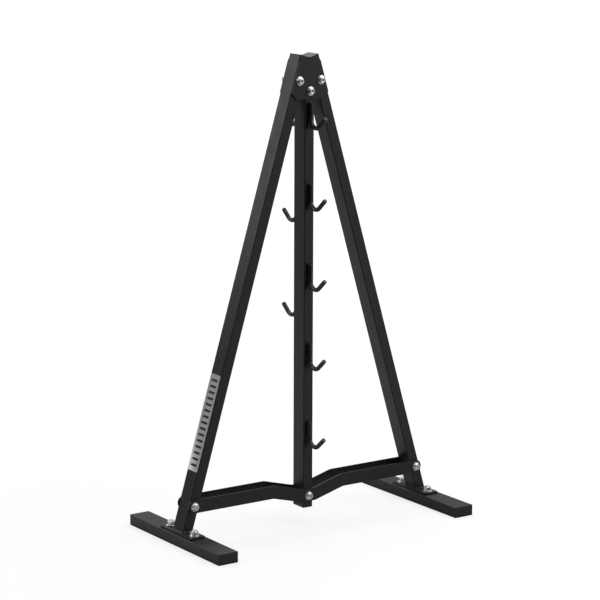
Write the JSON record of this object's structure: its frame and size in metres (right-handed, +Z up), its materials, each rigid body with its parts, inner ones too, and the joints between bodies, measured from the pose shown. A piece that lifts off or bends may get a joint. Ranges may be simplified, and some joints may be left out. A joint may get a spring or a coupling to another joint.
{
  "type": "dumbbell rack",
  "caption": "Free-standing A-frame rack whose centre post carries J-shaped hooks, front and back, for dumbbell handles and cable attachments.",
  "frame": {"origin": "on the floor, in the middle of the rectangle that the two feet cover, under the centre post", "axes": "+X across the rack from the left foot to the right foot, -Y to the front where the five hooks are, +Z up"},
  "size_m": [0.832, 0.446, 1.2771],
  "materials": {
    "powder_coat": "satin black fine-textured powder coat",
    "cap_plastic": "matte black moulded plastic",
    "zinc": "bright zinc plate",
    "badge_metal": "brushed, blank"
  },
  "bodies": {
    "root": {"back_hook_1": "powder_coat", "back_hook_2": "powder_coat", "back_hook_3": "powder_coat", "back_hook_welds": "powder_coat", "badge_plate": "badge_metal", "centre_post": "powder_coat", "crossbar_back": "powder_coat", "crossbar_back_washers": "zinc", "crossbar_bolts": "zinc", "crossbar_front": "powder_coat", "crossbar_front_washers": "zinc", "crossbar_nuts": "zinc", "foot_bolts": "zinc", "foot_nuts": "zinc", "foot_washers": "zinc", "front_hook_1": "powder_coat", "front_hook_2": "powder_coat", "front_hook_3": "powder_coat", "front_hook_4": "powder_coat", "front_hook_5": "powder_coat", "front_hook_welds": "powder_coat", "gusset_back": "powder_coat", "gusset_back_washers": "zinc", "gusset_bolts": "zinc", "gusset_front": "powder_coat", "gusset_front_washers": "zinc", "gusset_nuts": "zinc", "left_base_plate": "powder_coat", "left_foot": "powder_coat", "left_foot_back_cap": "cap_plastic", "left_foot_front_cap": "cap_plastic", "left_leg": "powder_coat", "left_leg_top_cap": "cap_plastic", "left_leg_weld": "powder_coat", "post_bottom_cap": "cap_plastic", "post_top_cap": "cap_plastic", "right_base_plate": "powder_coat", "right_foot": "powder_coat", "right_foot_back_cap": "cap_plastic", "right_foot_front_cap": "cap_plastic", "right_leg": "powder_coat", "right_leg_top_cap": "cap_plastic", "right_leg_weld": "powder_coat"}
  },
  "joints": []
}
